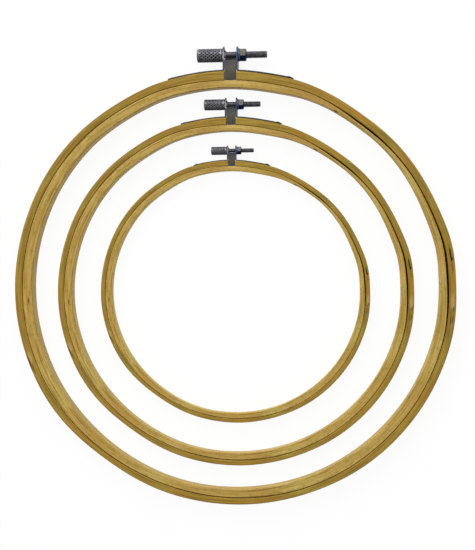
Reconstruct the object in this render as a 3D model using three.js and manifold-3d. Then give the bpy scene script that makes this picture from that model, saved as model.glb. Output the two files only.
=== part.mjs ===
// Embroidery hoops: a nested set of three, each a closed inner ring clamped inside a split outer ring.
// Millimetres, +Z up along the axis of the rings, clamps towards +Y. The set lies flat on Z = 0.
import * as THREE from "three";
import { mergeVertices } from "three/addons/utils/BufferGeometryUtils.js";
import Module from "manifold-3d";

const wasm = await Module();
wasm.setup();

// Outer radius of the large hoop. Each smaller one has some room between its lugs and the ring round it,
// and a centre shifted from the large hoop's. A gauge of 1 has the wood and fittings given below.
const LARGE_RADIUS = 130;
const LARGE_GAUGE = 1;
const MEDIUM_ROOM = 5.84;
const MEDIUM_GAUGE = 0.805;
const MEDIUM_SHIFT = -1.6;
const SMALL_ROOM = 8.6;
const SMALL_GAUGE = 0.608;
const SMALL_SHIFT = -1.15;

// Wooden rims
const RIM_HEIGHT = 10;
const OUTER_WALL = 4.4;
const INNER_WALL = 4.8;
const RIM_CHAMFER = 0.6;
const CLAMP_GAP = 7.1;

// Sheet-steel brackets. The strap length is measured along X from the middle of the clamp gap.
const SHEET = 0.9;
const SHEET_WIDTH = 8.4;
const STRAP_LENGTH = 37;
const STRAP_END_ROUND = 2.4;
const BEND_RADIUS = 1.8;
const LUG_HEIGHT = 14.3;
const COLLAR_WALL = 0.7;
const COLLAR_LENGTH = 0.8;
const TONGUE_CORNER = 2;
const TONGUE_TO_SCREW = 3.1;

// Thumb screw, washer and nut. The reach is measured from the middle of the clamp gap to the tip.
const SCREW_STANDOFF = 9.3;
const SHAFT_DIAMETER = 4;
const SHAFT_REACH = 22;
const SHAFT_CHAMFER = 0.5;
const HEAD_DIAMETER = 8;
const HEAD_LENGTH = 15;
const HEAD_CHAMFER = 0.7;
const KNURL_DEPTH = 0.45;
const KNURLS_AROUND = 12;
const KNURLS_ALONG = 6;
const WASHER_DIAMETER = 7.8;
const WASHER_THICKNESS = 1.3;
const NUT_ACROSS_FLATS = 7.8;
const NUT_SIDES = 6;
const NUT_THICKNESS = 3.3;
const NUT_CHAMFER = 0.45;

// Dome-headed tacks, placed by their distance along X from the middle of the clamp gap
const TACK_INSET = 2.8;
const TACK_PLACES = { inner: 13, outer: STRAP_LENGTH - TACK_INSET };
const TACK_HEAD_DIAMETER = 3.4;
const TACK_HEAD_HEIGHT = 0.5;
const TACK_SHANK_DIAMETER = 1.2;
const TACK_GRIP = 2.8;

// Clearances, the same on every hoop
const RING_CLEARANCE = 0.45;
const SEAT_GAP = 0.3;
const BORE_PLAY = 0.45;

// Fineness: the widest gap between a rim's facets and its true circle, and counts of facets
const RIM_TOLERANCE = 0.14;
const ARC_STEPS = 3;
const BORE_SIDES = 16;
const TACK_SIDES = 8;
const MERGE_DISTANCE = 1e-4;

const QUARTER = Math.PI / 2;
const BAMBOO_OUTER = { color: 0xa3863a, roughness: 0.55, metalness: 0 };
const BAMBOO_INNER = { color: 0xb59b58, roughness: 0.55, metalness: 0 };
const STEEL = { color: 0x6a6a6c, roughness: 0.35, metalness: 1 };
const DARK_STEEL = { color: 0x4a4a4c, roughness: 0.4, metalness: 1 };
const NUT_STEEL = { color: 0x77766a, roughness: 0.4, metalness: 1 };
const BLUE = { color: 0x1a66a0, roughness: 0.35, metalness: 0 };

// One hoop's sizes in millimetres at its own gauge, and the places that its pieces share
function hoopSizes(name, radius, gauge, shift) {
  const height = RIM_HEIGHT * gauge;
  const wallInside = radius - OUTER_WALL * gauge;
  const ringOutside = wallInside - RING_CLEARANCE;
  const halfGap = (CLAMP_GAP / 2) * gauge;
  const sheet = SHEET * gauge;
  const lugFace = halfGap + sheet;
  const shaftRadius = (SHAFT_DIAMETER / 2) * gauge;
  return {
    name,
    gauge,
    shift,
    radius,
    height,
    middle: height / 2,
    wallInside,
    ringOutside,
    ringInside: ringOutside - INNER_WALL * gauge,
    halfGap,
    sheet,
    lugFace,
    lugTop: radius + LUG_HEIGHT * gauge,
    strapInside: radius + SEAT_GAP,
    strapOutside: radius + SEAT_GAP + sheet,
    screwY: radius + SCREW_STANDOFF * gauge,
    shaftRadius,
    boreRadius: shaftRadius + BORE_PLAY,
  };
}

// A hoop that lies inside a bigger one, with its lugs the given room away from the bigger one's inner ring
function nestedHoop(name, around, room, gauge, shift) {
  const lugTop = around.ringInside - room + around.shift - shift;
  return hoopSizes(name, lugTop - LUG_HEIGHT * gauge, gauge, shift);
}

// Geometry as merged triangles, without the empty ones that a revolve leaves on its axis
function mergedTriangles(geometry) {
  const shell = geometry.clone();
  shell.deleteAttribute("normal");
  shell.deleteAttribute("uv");
  const merged = mergeVertices(shell, MERGE_DISTANCE);
  const corners = merged.index.array;
  const kept = [];
  for (let i = 0; i < corners.length; i += 3) {
    const [a, b, c] = [corners[i], corners[i + 1], corners[i + 2]];
    if (a !== b && b !== c && c !== a) {
      kept.push(a, b, c);
    }
  }
  return { places: merged.attributes.position, kept };
}

// Six times the signed volume, which is negative when the faces point inwards
function signedVolume(places, triangles) {
  const corner = [new THREE.Vector3(), new THREE.Vector3(), new THREE.Vector3()];
  let total = 0;
  for (let i = 0; i < triangles.length; i += 3) {
    corner.forEach((point, k) => point.fromBufferAttribute(places, triangles[i + k]));
    total += corner[0].dot(corner[1].cross(corner[2]));
  }
  return total;
}

function toSolid(geometry) {
  const { places, kept } = mergedTriangles(geometry);
  if (signedVolume(places, kept) < 0) {
    kept.reverse();
  }
  const vertProperties = new Float32Array(places.array);
  return new wasm.Manifold(new wasm.Mesh({ numProp: 3, vertProperties, triVerts: new Uint32Array(kept) }));
}

function toGeometry(solid) {
  const mesh = solid.getMesh();
  const geometry = new THREE.BufferGeometry();
  geometry.setAttribute("position", new THREE.BufferAttribute(mesh.vertProperties, 3));
  geometry.setIndex(new THREE.BufferAttribute(mesh.triVerts, 1));
  return geometry;
}

function cutAll(body, cutters) {
  return cutters.reduce((left, cutter) => left.subtract(toSolid(cutter)), body);
}

function joinAll(body, extras) {
  return extras.reduce((whole, extra) => whole.add(toSolid(extra)), body);
}

// A piece made for the right side, turned into its mirror image for the left side
function onSide(geometry, side) {
  return side > 0 ? geometry : geometry.clone().scale(-1, 1, 1);
}

// A shape in the XY plane, extruded from z = low to z = high
function extrudeUp(shape, low, high, arcSteps = ARC_STEPS) {
  const options = { depth: high - low, bevelEnabled: false, curveSegments: arcSteps };
  return new THREE.ExtrudeGeometry(shape, options).translate(0, 0, low);
}

// A shape drawn with its x as -Z and its y as Y, extruded along X from low to high
function extrudeAcross(shape, low, high, arcSteps = ARC_STEPS) {
  return extrudeUp(shape, low, high, arcSteps).rotateY(QUARTER);
}

// A profile of [x, radius] points, revolved about the X axis
function revolveAboutX(profile, sides) {
  const points = profile.map(([x, radius]) => new THREE.Vector2(radius, x));
  return new THREE.LatheGeometry(points, sides).rotateZ(-QUARTER);
}

function rodAlongX(radius, low, high, sides = BORE_SIDES) {
  return revolveAboutX([[low, 0], [low, radius], [high, radius], [high, 0]], sides);
}

// A tube wall about the X axis, as a profile that closes on itself
function tubeAlongX(inside, outside, low, high) {
  const profile = [[low, inside], [low, outside], [high, outside], [high, inside], [low, inside]];
  return revolveAboutX(profile, BORE_SIDES);
}

// Facets in a full circle that stay within the rim tolerance
function rimFacets(radius) {
  return 2 * Math.ceil(QUARTER / Math.acos(1 - RIM_TOLERANCE / radius));
}

// A plan of a rim, extruded to its height with chamfered edges
function extrudeRim(shape, hoop) {
  const chamfer = RIM_CHAMFER * hoop.gauge;
  const options = {
    depth: hoop.height - 2 * chamfer,
    bevelEnabled: true,
    bevelThickness: chamfer,
    bevelSize: chamfer,
    bevelOffset: -chamfer,
    bevelSegments: 1,
  };
  // An arc is divided into twice as many steps as curveSegments says
  const wholeCircle = rimFacets(hoop.radius);
  options.curveSegments = Math.ceil(wholeCircle / (shape.holes.length > 0 ? 2 : 4));
  return new THREE.ExtrudeGeometry(shape, options).translate(0, 0, chamfer);
}

function innerRing(hoop) {
  const shape = new THREE.Shape();
  shape.absarc(0, 0, hoop.ringOutside, 0, 2 * Math.PI, false);
  const hole = new THREE.Path();
  hole.absarc(0, 0, hoop.ringInside, 0, 2 * Math.PI, true);
  shape.holes.push(hole);
  return toSolid(extrudeRim(shape, hoop));
}

// How far round from +Y a piece lies that stands at distance x from the middle of the clamp gap
function turnAt(hoop, x) {
  return Math.asin((x * hoop.gauge) / hoop.radius);
}

// Half of the split outer ring, with blind holes for its tacks. The halves part at 6 o'clock.
function outerHalf(hoop, side) {
  const shape = new THREE.Shape();
  const arcEnds = (radius) => [
    Math.asin(SEAT_GAP / 2 / radius) - QUARTER,
    QUARTER - Math.asin(hoop.halfGap / radius),
  ];
  const [outerLow, outerHigh] = arcEnds(hoop.radius);
  const [innerLow, innerHigh] = arcEnds(hoop.wallInside);
  shape.absarc(0, 0, hoop.radius, outerLow, outerHigh, false);
  shape.absarc(0, 0, hoop.wallInside, innerHigh, innerLow, true);
  shape.closePath();
  const half = toSolid(onSide(extrudeRim(shape, hoop), side));
  return cutAll(half, Object.values(TACK_PLACES).map((place) => tackHole(hoop, side, place)));
}

// The hole that a tack passes down, through the strap and into the wood
function tackHole(hoop, side, place) {
  const radius = (TACK_SHANK_DIAMETER / 2) * hoop.gauge + SEAT_GAP;
  const floor = hoop.radius - TACK_GRIP * hoop.gauge - SEAT_GAP;
  const mouth = hoop.strapOutside + SEAT_GAP;
  const hole = new THREE.CylinderGeometry(radius, radius, mouth - floor, TACK_SIDES);
  hole.translate(0, (mouth + floor) / 2, hoop.middle);
  return hole.rotateZ(-side * turnAt(hoop, place));
}

// A tack with its dome outside the strap and its shank in the wood
function tack(hoop, side, place) {
  const shank = (TACK_SHANK_DIAMETER / 2) * hoop.gauge;
  const head = (TACK_HEAD_DIAMETER / 2) * hoop.gauge;
  const rise = TACK_HEAD_HEIGHT * hoop.gauge;
  const seat = hoop.strapOutside + SEAT_GAP;
  const point = hoop.radius - TACK_GRIP * hoop.gauge;
  const profile = [
    new THREE.Vector2(0, point),
    new THREE.Vector2(shank, point + shank),
    new THREE.Vector2(shank, seat),
    new THREE.Vector2(head, seat),
    new THREE.Vector2(head * Math.cos(QUARTER / 3), seat + rise * Math.sin(QUARTER / 3)),
    new THREE.Vector2(head * Math.cos((2 * QUARTER) / 3), seat + rise * Math.sin((2 * QUARTER) / 3)),
    new THREE.Vector2(0, seat + rise),
  ];
  const geometry = new THREE.LatheGeometry(profile, TACK_SIDES).translate(0, 0, hoop.middle);
  return toSolid(geometry.rotateZ(-side * turnAt(hoop, place)));
}

// Plan of a bracket: the strap follows the rim, and bends outwards into the lug at the end of the wood
function bracketPlan(hoop) {
  const inside = BEND_RADIUS * hoop.gauge;
  const outside = inside + hoop.sheet;
  const bendX = hoop.lugFace + inside;
  const bendY = Math.sqrt((hoop.strapOutside + inside) ** 2 - bendX ** 2);
  const footTurn = Math.atan2(bendY, bendX);
  const endTurn = QUARTER - turnAt(hoop, STRAP_LENGTH);
  const plan = new THREE.Shape();
  plan.moveTo(hoop.halfGap, hoop.lugTop);
  plan.lineTo(hoop.halfGap, bendY);
  plan.absarc(bendX, bendY, outside, Math.PI, Math.PI + footTurn, false);
  plan.absarc(0, 0, hoop.strapInside, footTurn, endTurn, true);
  plan.absarc(0, 0, hoop.strapOutside, endTurn, footTurn, false);
  plan.absarc(bendX, bendY, inside, Math.PI + footTurn, Math.PI, true);
  plan.lineTo(hoop.lugFace, hoop.lugTop);
  plan.closePath();
  return plan;
}

// The lug's outline seen along X: straight sides and a half-round top
function lugOutline(hoop) {
  const half = (SHEET_WIDTH / 2) * hoop.gauge;
  const outline = new THREE.Shape();
  outline.moveTo(-half, 0);
  outline.lineTo(half, 0);
  outline.absarc(0, hoop.lugTop - half, half, 0, Math.PI, false);
  outline.closePath();
  return outline;
}

// The strap's outline seen along Y: square at the lug and round at its far corners
function strapOutline(hoop) {
  const half = (SHEET_WIDTH / 2) * hoop.gauge;
  const round = STRAP_END_ROUND * hoop.gauge;
  const end = STRAP_LENGTH * hoop.gauge;
  const outline = new THREE.Shape();
  outline.moveTo(0, -half);
  outline.lineTo(end - round, -half);
  outline.absarc(end - round, round - half, round, -QUARTER, 0, false);
  outline.absarc(end - round, half - round, round, 0, QUARTER, false);
  outline.lineTo(0, half);
  outline.closePath();
  return outline;
}

function bracket(hoop, side, extras, holeRadius) {
  const half = (SHEET_WIDTH / 2) * hoop.gauge;
  const bent = toSolid(extrudeUp(bracketPlan(hoop), hoop.middle - half, hoop.middle + half));
  const fromTheEnd = extrudeAcross(lugOutline(hoop), 0, hoop.radius, 2 * ARC_STEPS);
  const fromTheFront = extrudeUp(strapOutline(hoop), -hoop.lugTop, 0).rotateX(QUARTER);
  const trimmed = bent
    .intersect(toSolid(fromTheEnd.translate(0, 0, hoop.middle)))
    .intersect(toSolid(fromTheFront.translate(0, 0, hoop.middle)));
  const whole = joinAll(toSolid(onSide(toGeometry(trimmed), side)), extras);
  const shaftHole = rodAlongX(holeRadius, -2 * hoop.lugFace, 2 * hoop.lugFace);
  const cutters = Object.values(TACK_PLACES).map((place) => tackHole(hoop, side, place));
  cutters.push(shaftHole.translate(0, hoop.screwY, hoop.middle));
  return cutAll(whole, cutters);
}

// The tongue is folded from the top edge of the left lug, and bridges the gap between the screw and the
// inner ring.
function tonguePlan(hoop) {
  const near = -(hoop.halfGap - SEAT_GAP);
  const far = hoop.halfGap - SEAT_GAP;
  const round = TONGUE_CORNER * hoop.gauge;
  const lugFoot = hoop.strapOutside + BEND_RADIUS * hoop.gauge;
  const top = hoop.screwY - TONGUE_TO_SCREW * hoop.gauge;
  const plan = new THREE.Shape();
  plan.moveTo(-hoop.lugFace, top);
  plan.lineTo(-hoop.lugFace, lugFoot);
  plan.lineTo(near, lugFoot);
  plan.lineTo(near, hoop.wallInside + round);
  plan.absarc(near + round, hoop.wallInside + round, round, Math.PI, 3 * QUARTER, false);
  plan.lineTo(far, hoop.wallInside);
  plan.lineTo(far, top);
  plan.closePath();
  return plan;
}

function leftBracket(hoop) {
  const edge = hoop.middle + (SHEET_WIDTH / 2) * hoop.gauge;
  const tongue = extrudeUp(tonguePlan(hoop), edge - hoop.sheet, edge);
  const holeRadius = hoop.shaftRadius + SEAT_GAP;
  const collarEnd = COLLAR_LENGTH * hoop.gauge - hoop.halfGap;
  const collar = tubeAlongX(holeRadius, holeRadius + COLLAR_WALL * hoop.gauge, -hoop.lugFace, collarEnd);
  return bracket(hoop, -1, [tongue, collar.translate(0, hoop.screwY, hoop.middle)], holeRadius);
}

function rightBracket(hoop) {
  return bracket(hoop, 1, [], hoop.boreRadius);
}

// The washer and the nut stand in a row outside the right lug
function washerStart(hoop) {
  return hoop.lugFace + SEAT_GAP;
}

function nutStart(hoop) {
  return washerStart(hoop) + WASHER_THICKNESS * hoop.gauge + SEAT_GAP;
}

function washer(hoop) {
  const start = washerStart(hoop);
  const end = start + WASHER_THICKNESS * hoop.gauge;
  const rim = (WASHER_DIAMETER / 2) * hoop.gauge;
  const ring = tubeAlongX(hoop.boreRadius, rim, start, end);
  return toSolid(ring.translate(0, hoop.screwY, hoop.middle));
}

// Hexagon nut with a corner on top. Its end faces are chamfered by a cone, which leaves arcs on the flats.
function nut(hoop) {
  const flat = (NUT_ACROSS_FLATS / 2) * hoop.gauge;
  const corner = flat / Math.cos(Math.PI / NUT_SIDES);
  const start = nutStart(hoop);
  const end = start + NUT_THICKNESS * hoop.gauge;
  const chamfer = NUT_CHAMFER * hoop.gauge;
  const hexagon = new THREE.Shape();
  for (let k = 0; k < NUT_SIDES; k += 1) {
    const turn = (2 * Math.PI * k) / NUT_SIDES;
    hexagon.lineTo(corner * Math.cos(turn), corner * Math.sin(turn));
  }
  hexagon.closePath();
  const cone = [
    [start, 0],
    [start, flat],
    [start + chamfer, corner],
    [end - chamfer, corner],
    [end, flat],
    [end, 0],
  ];
  const solid = toSolid(extrudeAcross(hexagon, start, end))
    .intersect(toSolid(revolveAboutX(cone, BORE_SIDES)))
    .subtract(toSolid(rodAlongX(hoop.boreRadius, start - SEAT_GAP, end + SEAT_GAP)));
  return solid.translate([0, hoop.screwY, hoop.middle]);
}

// Rings along the screw from the end of its head to its tip. Each is [x, radius, whether it is knurled].
function screwRings(hoop) {
  const head = (HEAD_DIAMETER / 2) * hoop.gauge;
  const chamfer = HEAD_CHAMFER * hoop.gauge;
  const shoulder = -(hoop.lugFace + SEAT_GAP);
  const headEnd = shoulder - HEAD_LENGTH * hoop.gauge;
  const rings = [[headEnd, head - chamfer, false]];
  const knurlSteps = 2 * KNURLS_ALONG;
  const knurlLength = shoulder - headEnd - 2 * chamfer;
  for (let step = 0; step <= knurlSteps; step += 1) {
    rings.push([headEnd + chamfer + (knurlLength * step) / knurlSteps, head, true]);
  }
  const tip = SHAFT_REACH * hoop.gauge;
  const tipChamfer = SHAFT_CHAMFER * hoop.gauge;
  rings.push([shoulder, head - chamfer, false]);
  rings.push([shoulder, hoop.shaftRadius, false]);
  rings.push([tip - tipChamfer, hoop.shaftRadius, false]);
  rings.push([tip, hoop.shaftRadius - tipChamfer, false]);
  return rings;
}

// Thumb screw in one piece. Crossed grooves leave a lattice of small pyramids on its head, so that peaks
// and valleys alternate round each ring and from ring to ring.
function thumbScrew(hoop) {
  const sides = 2 * KNURLS_AROUND;
  const rings = screwRings(hoop);
  const places = [];
  rings.forEach(([x, radius, knurled], j) => {
    for (let i = 0; i < sides; i += 1) {
      const groove = knurled && (i + j) % 2 === 0 ? KNURL_DEPTH * hoop.gauge : 0;
      const turn = (2 * Math.PI * i) / sides;
      places.push(x, (radius - groove) * Math.cos(turn), (radius - groove) * Math.sin(turn));
    }
  });
  const headCentre = places.length / 3;
  const tipCentre = headCentre + 1;
  places.push(rings[0][0], 0, 0, rings[rings.length - 1][0], 0, 0);

  const triangles = [];
  const lastRing = (rings.length - 1) * sides;
  for (let i = 0; i < sides; i += 1) {
    const next = (i + 1) % sides;
    triangles.push(headCentre, i, next, tipCentre, lastRing + next, lastRing + i);
    for (let j = 0; j < rings.length - 1; j += 1) {
      const [a, b] = [j * sides + i, j * sides + next];
      const [c, d] = [a + sides, b + sides];
      // The fold runs from valley to valley, so that each peak stays a pyramid
      if ((i + j) % 2 === 0) {
        triangles.push(a, c, d, a, d, b);
      } else {
        triangles.push(a, c, b, b, c, d);
      }
    }
  }
  const geometry = new THREE.BufferGeometry();
  geometry.setAttribute("position", new THREE.Float32BufferAttribute(places, 3));
  geometry.setIndex(triangles);
  return toSolid(geometry.translate(0, hoop.screwY, hoop.middle));
}

function addPiece(group, name, solid, finish) {
  const mesh = new THREE.Mesh(toGeometry(solid), new THREE.MeshStandardMaterial(finish));
  mesh.name = name;
  group.add(mesh);
}

function buildHoop(hoop) {
  const group = new THREE.Group();
  const add = (name, solid, finish) => addPiece(group, `${hoop.name}_${name}`, solid, finish);
  add("inner_ring", innerRing(hoop), BAMBOO_INNER);
  add("left_bracket", leftBracket(hoop), STEEL);
  add("right_bracket", rightBracket(hoop), STEEL);
  for (const [sideName, side] of [["left", -1], ["right", 1]]) {
    add(`outer_ring_${sideName}`, outerHalf(hoop, side), BAMBOO_OUTER);
    for (const [placeName, place] of Object.entries(TACK_PLACES)) {
      add(`${sideName}_${placeName}_tack`, tack(hoop, side, place), STEEL);
    }
  }
  add("thumb_screw", thumbScrew(hoop), DARK_STEEL);
  add("washer", washer(hoop), BLUE);
  add("nut", nut(hoop), NUT_STEEL);
  group.position.y = hoop.shift;
  return group;
}

const large = hoopSizes("large", LARGE_RADIUS, LARGE_GAUGE, 0);
const medium = nestedHoop("medium", large, MEDIUM_ROOM, MEDIUM_GAUGE, MEDIUM_SHIFT);
const small = nestedHoop("small", medium, SMALL_ROOM, SMALL_GAUGE, SMALL_SHIFT);

// The origin is under the middle of the whole set, lugs included
const hoops = new THREE.Group();
hoops.name = "embroidery_hoops";
hoops.add(buildHoop(large), buildHoop(medium), buildHoop(small));
hoops.position.y = (large.radius - large.lugTop) / 2;

export default hoops;
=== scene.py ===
"""Looks of a nested set of bamboo embroidery hoops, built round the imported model.

A hoop's pieces are made in millimetres about the middle of its base, with its clamp towards +Y, and then
placed in metres. A hoop's gauge is the scale of its wood and fittings.
"""

import math
import random

import bmesh
import bpy
import numpy as np
from mathutils import Matrix, Vector


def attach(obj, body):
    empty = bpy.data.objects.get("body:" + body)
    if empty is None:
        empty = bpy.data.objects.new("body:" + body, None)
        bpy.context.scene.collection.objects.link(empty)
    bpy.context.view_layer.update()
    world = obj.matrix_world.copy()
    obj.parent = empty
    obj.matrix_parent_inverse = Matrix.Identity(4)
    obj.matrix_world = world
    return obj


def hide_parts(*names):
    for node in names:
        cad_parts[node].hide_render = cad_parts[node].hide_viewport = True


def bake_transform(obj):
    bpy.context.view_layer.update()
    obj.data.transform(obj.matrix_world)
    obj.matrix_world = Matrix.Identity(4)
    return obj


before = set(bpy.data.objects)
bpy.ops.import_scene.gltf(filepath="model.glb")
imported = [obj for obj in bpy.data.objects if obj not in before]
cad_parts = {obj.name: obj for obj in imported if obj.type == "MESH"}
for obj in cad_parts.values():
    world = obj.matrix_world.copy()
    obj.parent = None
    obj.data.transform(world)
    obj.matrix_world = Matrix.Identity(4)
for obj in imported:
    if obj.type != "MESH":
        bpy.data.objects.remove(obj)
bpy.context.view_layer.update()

MM = 0.001
SEED = 7

# The floor in metres, and the share of plain white in it as it is seen
FLOOR_HALF = 12.0
FLOOR_DROP = 0.0002
FLOOR_GLOW = 0.94

# The world is brightest towards this direction and dimmest away from it
SKY_TOWARDS = (0.15, 0.9, 0.3)
SKY_SPREAD = (-0.8, 0.9)
SKY_DIM = 0.25
SKY_BRIGHT = 1.15

# Overhead it is dimmer, as where a photographer stands
OVERHEAD_SPREAD = (0.82, 0.95)
OVERHEAD_SHARE = 0.35

# The lamp, in metres and watts
KEY_PLACE = (-0.75, 1.5, 1.5)
KEY_SIZE = 1.4
KEY_POWER = 28.0

# Image and camera, placed so that the rims are where the picture shows them
IMAGE_SIZE = (475, 550)
SENSOR = 36.0
FOCAL_PIXELS = 1256.0
EYE = (0.080, 0.015, 0.740)
TARGET = (0.0025, 0.0030, 0.0)
ROLL = 0.0074

# Each hoop's name, outer radius, gauge and shift from the large hoop's centre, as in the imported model, and
# how much rounder than the large hoop it is pressed
LARGE_RADIUS = 130.0
HOOPS = (
    ("large", LARGE_RADIUS, 1.0, 0.0, 0.0),
    ("medium", 104.6, 0.805, -1.6, 0.6),
    ("small", 79.0, 0.608, -1.15, 0.93),
)
ORIGIN_Y = -7.15
SIDES = {"left": -1, "right": 1}

# Sizes at a gauge of 1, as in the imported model
RIM_HEIGHT = 10.0
OUTER_WALL = 4.4
INNER_WALL = 4.8
CLAMP_GAP = 7.1
SHEET = 0.9
SHEET_WIDTH = 8.4
STRAP_LENGTH = 37.0
STRAP_END_ROUND = 2.4
LUG_HEIGHT = 14.3
COLLAR_LENGTH = 0.8
COLLAR_WALL = 0.7
SCREW_STANDOFF = 9.3
SHAFT_DIAMETER = 4.0
SHAFT_REACH = 22.0
TIP_CHAMFER = 0.5
HEAD_DIAMETER = 8.0
HEAD_LENGTH = 15.0
HEAD_CHAMFER = 0.7
KNURL_DEPTH = 0.45
KNURLS_AROUND = 12
KNURLS_ALONG = 6
WASHER_DIAMETER = 7.8
NUT_SIDES = 6
TACK_PLACES = {"inner": 13.0, "outer": 34.2}
TACK_HEAD_DIAMETER = 3.4
TACK_SHANK_DIAMETER = 1.2
TACK_GRIP = 2.8

# Play between the pieces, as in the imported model
RING_CLEARANCE = 0.45
SEAT_GAP = 0.3
BORE_PLAY = 0.45

# Sizes at a gauge of 1 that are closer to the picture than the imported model's
BEND_RADIUS = 0.2
TONGUE_CORNER = 1.2
TONGUE_RIGHT_CORNER = TONGUE_CORNER / 4
TONGUE_TO_SCREW = 2.45
TIP_SHORT = 0.6
WASHER_THICKNESS = 0.8
NUT_ACROSS_FLATS = 7.0
NUT_THICKNESS = 3.8
NUT_SHORT = 0.6
NUT_CHAMFER = 0.25
NUT_TURN = math.radians(13)
SEAM_CLEARANCE = 0.15
PLAY = 0.06

# Hand bend of both rings in millimetres on the large hoop. It fades out near the clamp. A spot's numbers
# are its angle and half width in degrees, and millimetres outwards.
BEND_MEAN = -2.33
BEND_SWING = 2.04
BEND_TURN = math.radians(173)
BEND_STARTS = 17
BEND_FULL = 40
BEND_SPOTS = ((5, 14, 0.3), (12, 7, 0.8), (47, 24, 1.4), (75, 12, -1.5), (100, 15, -0.6), (127, 10, 0.8),
              (136, 26, 2.5), (225, 15, -0.4), (240, 12, -0.3), (253, 30, -1.2), (318, 20, -0.4),
              (350, 8, 0.4))
ROUNDER_MEAN = 0.6
ROUNDER_SWING = 0.65
ROUNDER_SIDE = 1.75

# Spots where one face of a ring wanders by itself
INSIDE_SPOTS = ((46, 25, 2.6), (152, 24, -0.8), (192, 20, -0.6), (215, 25, -0.8), (248, 28, 1.1),
                (285, 18, -0.4), (318, 28, -0.7), (348, 14, -0.6))
RING_OUTSIDE_SPOTS = ((5, 14, -0.9), (30, 12, -0.2), (50, 9, -0.7), (90, 16, -0.85))
WALL_INSIDE_SPOTS = ((90, 16, -1.0), (270, 20, 0.15))
OUTSIDE_SPOTS = ((2, 8, -0.2), (74, 5, 0.3), (231, 13, -1.1), (262, 15, -0.2), (291, 18, -0.9))

# Seeded wobbles round a ring: the fewest and the most waves, and the millimetres in the slowest wave
INSIDE_WOBBLE = (4, 11, 0.1)
OUTSIDE_WOBBLE = (5, 12, 0.07)
TOP_WOBBLE = (3, 8, 0.035)

# The rings' edges at a gauge of 1
INNER_CORNER = 0.5
INNER_TOP_DROP = 0.14
INNER_BASE_LIFT = 0.04
OUTER_CORNER = 0.55
OUTER_END_ROUND = 0.2
OUTER_TOP_DROP = 0.03
OUTER_TOP_WAVES = 3
OUTER_TOP_PHASE = 1

# The inner ring's foot at the outer ring: its play, and its top and ease as shares of its height
FOOT_PLAY = 0.03
FOOT_TOP = 0.85
FOOT_EASE = 0.45

# A nick in the outer ring's top edge: its angle and half width in degrees, its depth, and the radius and
# height where it begins and how soon it is full, on the large hoop
NICK_ANGLE = 8
NICK_HALF_WIDTH = 1.6
NICK_DEPTH = 0.5
NICK_RADIUS = 128.2
NICK_HEIGHT = 8.2
NICK_EASE = 1.2

# Details of the brackets and tacks at a gauge of 1. A lug's places are shares of its straight part, and the
# collar's flare is given by distances from the lug's inner face and from the collar's outside.
STRAP_LIFT = 0.05
SHEET_EDGE = 0.22
SHEET_LEAST_WIDTH = 0.04
TONGUE_ROOT = 1.0
LUG_PLACES = (0.66, 0.33)
COLLAR_FLARE = ((-SHEET / 2, 1.0), (0.0, 0.7), (0.25, 0.1), (COLLAR_LENGTH, -0.1))
COLLAR_ROUND = 0.3
DOME_HEIGHTS = {"inner": 0.3, "outer": 0.75}
DOME_RIM = 0.14
TACK_POINT_LENGTH = 0.84
TACK_HOLE_PLAY = 0.05
TACK_HOLE_REACH = (-1.0, 3.0)

# Details of the screw, washer and nut at a gauge of 1. The head's end is dished, deeper at an inner radius
# than at its rim. A crest's numbers are how steep its flanks are and how much is cut off its root.
HEAD_DISH_DEPTH = 0.25
HEAD_DISH_RADIUS = 1.4
HEAD_RIM_DEPTH = 0.02
HEAD_RIM_WIDTH = 1.26
KNURL_CREST = (1.6, 0.65)
NECK_UNDERCUT = 0.1
THREAD_PITCH = 0.7
THREAD_OVER_SHAFT = 0.08
THREAD_DEPTH = 0.24
THREAD_CREST = (2.2, 0.4)
WASHER_ROUND = 0.3
NUT_FACE_SHARE = 0.96
NUT_COUNTERSINK = 0.35
NUT_BEVEL = 0.09
NUT_BEVEL_FROM = math.radians(20)

# How rubbed the screw is, from 0 to 1: its head's end, its edges, the thread's root, and how much more the
# thread's crest is
END_RUB = 0.45
EDGE_RUB = 0.3
ROOT_RUB = 0.12
CREST_RUB = 0.47

# The angle over which an edge is drawn sharp
SHARP_FROM = math.radians(38)

# Fineness
RING_STEPS = 480
CORNER_STEPS = 4
FACE_STEPS = 6
ROUND_SIDES = 64
TACK_HOLE_SIDES = 20
EDGE_STEPS = 3
STRAP_STEPS = 30
BEND_STEPS = 12
LUG_STEPS = 10
FOLD_STEPS = 8
TONGUE_STEPS = 9
DOME_STEPS = 9
HEAD_EDGE_STEPS = 6
WASHER_EDGE_STEPS = 4
KNURL_STEPS = 4
THREAD_STEPS = 6
FLAT_STEPS = 12

# The most that a rounded corner takes of a side, and a rounded edge of half a thickness or width
CORNER_SHARE = 1 / 2.2
EDGE_SHARE = 0.98

# The least width and radius in millimetres, so that no section closes up
SLIVER = 0.01
POINT = 0.02


def smooth(value):
    """Clips a value to between 0 and 1 and eases it at both ends."""
    value = np.clip(value, 0.0, 1.0)
    return value * value * (3 - 2 * value)


def degrees_between(angles, degrees):
    """Signed degrees from an angle in degrees to each angle in radians."""
    return (np.degrees(angles) - degrees + 180) % 360 - 180


def clamp_fade(angles):
    """0 near the clamp, where the straps keep the rings round, and 1 away from it."""
    return smooth((np.abs(degrees_between(angles, 90)) - BEND_STARTS) / (BEND_FULL - BEND_STARTS))


def spots(angles, places):
    """Smooth bumps at each angle: a sum over (angle, half width, height)."""
    total = np.zeros(len(angles))
    for degrees, half_width, height in places:
        total += height * np.exp(-((degrees_between(angles, degrees) / half_width) ** 2))
    return total


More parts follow.
